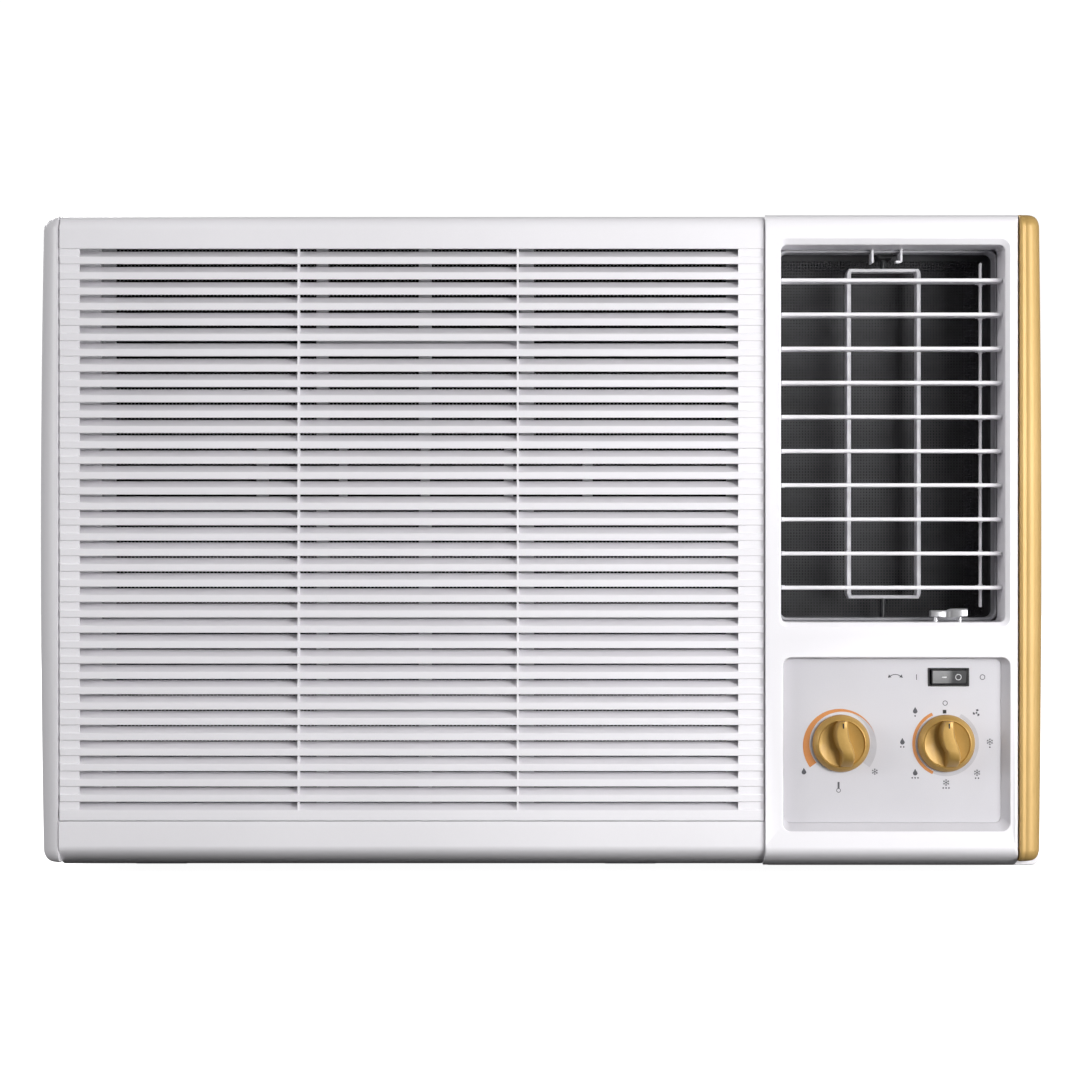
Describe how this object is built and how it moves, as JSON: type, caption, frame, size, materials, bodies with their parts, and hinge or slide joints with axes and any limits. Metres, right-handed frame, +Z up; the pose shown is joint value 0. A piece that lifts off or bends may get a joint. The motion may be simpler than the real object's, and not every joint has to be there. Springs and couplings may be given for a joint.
{
  "type": "window air conditioner",
  "caption": "Window air conditioner with a slotted intake grille, louvred air outlet, two rotary controls and a rocker switch, in a louvred steel cabinet.",
  "frame": {"origin": "centre of the footprint on the surface that the base rails stand on", "axes": "+X to the viewer's right, +Y from the room side to the outside, +Z up; the front faces -Y"},
  "size_m": [0.666, 0.69, 0.439],
  "materials": {
    "white_abs": "satin moulded",
    "grey_abs": "moulded",
    "black_plastic": "moulded",
    "gold_trim": "metallic coated",
    "control_face": "printed",
    "foam": "moulded foam",
    "scroll_plastic": "moulded",
    "filter_net": "woven nylon net",
    "painted_sheet": "powder coated",
    "galvanised": "galvanised",
    "dark_steel": "painted",
    "steel": "plated",
    "fin_aluminium": "rolled fin stock",
    "copper": "drawn tube",
    "rubber": "moulded",
    "heater_sheath": "oxidised",
    "phenolic": "moulded"
  },
  "bodies": {
    "chassis": {"base_pan": "galvanised", "base_rails": "dark_steel", "cabinet": "painted_sheet", "rear_guard": "dark_steel", "front_frame": "white_abs", "left_end_cap": "white_abs", "control_fascia": "white_abs", "right_trim": "gold_trim", "control_plate": "control_face", "outlet_guard": "black_plastic", "discharge_plenum": "foam", "scroll_housing": "scroll_plastic", "evaporator_fins": "fin_aluminium", "evaporator_tubes": "copper", "drain_tray": "scroll_plastic", "heater_coil": "heater_sheath", "bulkhead": "galvanised", "motor_bracket": "galvanised", "fan_motor": "steel", "fan_shroud": "galvanised", "condenser_fins": "fin_aluminium", "condenser_tubes": "copper", "compressor": "dark_steel", "compressor_grommets": "rubber", "accumulator": "dark_steel", "refrigerant_pipes": "copper", "capillary_tube": "copper", "control_box": "galvanised", "mode_switch": "phenolic", "thermostat_body": "steel", "run_capacitor": "steel", "rocker_housing": "black_plastic", "swing_motor": "steel", "cord_gland": "rubber", "screws": "steel"},
    "grille": {"intake_grille": "white_abs"},
    "filter": {"filter_frame": "grey_abs", "filter_mesh": "filter_net"},
    "thermostat_control": {"thermostat_knob": "gold_trim", "thermostat_stem": "steel"},
    "mode_control": {"mode_knob": "gold_trim", "mode_stem": "steel"},
    "rocker": {"rocker_button": "black_plastic"},
    "tie_bar": {"louvre_tie_bar": "white_abs"},
    "deflector": {"swing_deflector": "white_abs"},
    "vent_slider": {"vent_lever": "steel"},
    "vent_flap": {"vent_door": "galvanised"},
    "rotor": {"motor_shaft": "steel", "blower_wheel": "black_plastic", "condenser_fan": "black_plastic"},
    "louvre_01": {"louvre_blade_01": "white_abs"},
    "louvre_02": {"louvre_blade_02": "white_abs"},
    "louvre_03": {"louvre_blade_03": "white_abs"},
    "louvre_04": {"louvre_blade_04": "white_abs"},
    "louvre_05": {"louvre_blade_05": "white_abs"},
    "louvre_06": {"louvre_blade_06": "white_abs"},
    "louvre_07": {"louvre_blade_07": "white_abs"},
    "louvre_08": {"louvre_blade_08": "white_abs"},
    "louvre_09": {"louvre_blade_09": "white_abs"},
    "louvre_10": {"louvre_blade_10": "white_abs"}
  },
  "joints": [
    {"name": "grille_hinge", "type": "hinge", "parent": "chassis", "child": "grille", "pos_m": [-0.085, -0.317, 0.43695], "axis": [-1, 0, 0], "range_deg": [0, 75]},
    {"name": "filter_slide", "type": "slide", "parent": "chassis", "child": "filter", "axis": [0, 0, 1], "range_m": [0, 0.38]},
    {"name": "thermostat_turn", "type": "hinge", "parent": "chassis", "child": "thermostat_control", "pos_m": [0.199, -0.335, 0.0891], "axis": [0, 1, 0], "range_deg": [-126, 126]},
    {"name": "mode_turn", "type": "hinge", "parent": "chassis", "child": "mode_control", "pos_m": [0.2686, -0.335, 0.0891], "axis": [0, 1, 0], "continuous": true},
    {"name": "rocker_tilt", "type": "hinge", "parent": "chassis", "child": "rocker", "pos_m": [0.2702, -0.325, 0.1329], "axis": [0, 0, 1], "range_deg": [-14, 0]},
    {"name": "louvre_tilt", "type": "hinge", "parent": "chassis", "child": "louvre_01", "pos_m": [0.233, -0.311, 0.39613], "axis": [1, 0, 0], "range_deg": [-30, 30]},
    {"name": "louvre_02_tilt", "type": "hinge", "parent": "chassis", "child": "louvre_02", "pos_m": [0.233, -0.311, 0.37345], "axis": [1, 0, 0], "range_deg": [-30, 30]},
    {"name": "louvre_03_tilt", "type": "hinge", "parent": "chassis", "child": "louvre_03", "pos_m": [0.233, -0.311, 0.35078], "axis": [1, 0, 0], "range_deg": [-30, 30]},
    {"name": "louvre_04_tilt", "type": "hinge", "parent": "chassis", "child": "louvre_04", "pos_m": [0.233, -0.311, 0.32811], "axis": [1, 0, 0], "range_deg": [-30, 30]},
    {"name": "louvre_05_tilt", "type": "hinge", "parent": "chassis", "child": "louvre_05", "pos_m": [0.233, -0.311, 0.30544], "axis": [1, 0, 0], "range_deg": [-30, 30]},
    {"name": "louvre_06_tilt", "type": "hinge", "parent": "chassis", "child": "louvre_06", "pos_m": [0.233, -0.311, 0.28276], "axis": [1, 0, 0], "range_deg": [-30, 30]},
    {"name": "louvre_07_tilt", "type": "hinge", "parent": "chassis", "child": "louvre_07", "pos_m": [0.233, -0.311, 0.26009], "axis": [1, 0, 0], "range_deg": [-30, 30]},
    {"name": "louvre_08_tilt", "type": "hinge", "parent": "chassis", "child": "louvre_08", "pos_m": [0.233, -0.311, 0.23742], "axis": [1, 0, 0], "range_deg": [-30, 30]},
    {"name": "louvre_09_tilt", "type": "hinge", "parent": "chassis", "child": "louvre_09", "pos_m": [0.233, -0.311, 0.21475], "axis": [1, 0, 0], "range_deg": [-30, 30]},
    {"name": "louvre_10_tilt", "type": "hinge", "parent": "chassis", "child": "louvre_10", "pos_m": [0.233, -0.311, 0.19207], "axis": [1, 0, 0], "range_deg": [-30, 30]},
    {"name": "tie_bar_pin", "type": "hinge", "parent": "louvre_01", "child": "tie_bar", "pos_m": [0.295, -0.299, 0.39613], "axis": [1, 0, 0], "range_deg": [-30, 30]},
    {"name": "deflector_swing", "type": "hinge", "parent": "chassis", "child": "deflector", "pos_m": [0.2325, -0.273, 0.294], "axis": [0, 0, 1], "range_deg": [-25, 25]},
    {"name": "vent_slide", "type": "slide", "parent": "chassis", "child": "vent_slider", "axis": [1, 0, 0], "range_m": [-0.03, 0]},
    {"name": "vent_door_hinge", "type": "hinge", "parent": "chassis", "child": "vent_flap", "pos_m": [0.21, -0.1122, 0.411], "axis": [1, 0, 0], "range_deg": [0, 60]},
    {"name": "fan_spin", "type": "hinge", "parent": "chassis", "child": "rotor", "pos_m": [-0.065, 0.045, 0.225], "axis": [0, 1, 0], "continuous": true}
  ],
  "couplings": [
    {"joint": "louvre_02_tilt", "follows": "louvre_tilt", "ratio": 1},
    {"joint": "louvre_03_tilt", "follows": "louvre_tilt", "ratio": 1},
    {"joint": "louvre_04_tilt", "follows": "louvre_tilt", "ratio": 1},
    {"joint": "louvre_05_tilt", "follows": "louvre_tilt", "ratio": 1},
    {"joint": "louvre_06_tilt", "follows": "louvre_tilt", "ratio": 1},
    {"joint": "louvre_07_tilt", "follows": "louvre_tilt", "ratio": 1},
    {"joint": "louvre_08_tilt", "follows": "louvre_tilt", "ratio": 1},
    {"joint": "louvre_09_tilt", "follows": "louvre_tilt", "ratio": 1},
    {"joint": "louvre_10_tilt", "follows": "louvre_tilt", "ratio": 1},
    {"joint": "tie_bar_pin", "follows": "louvre_tilt", "ratio": -1},
    {"joint": "vent_door_hinge", "follows": "vent_slide", "rad_per_m": -34.9}
  ]
}
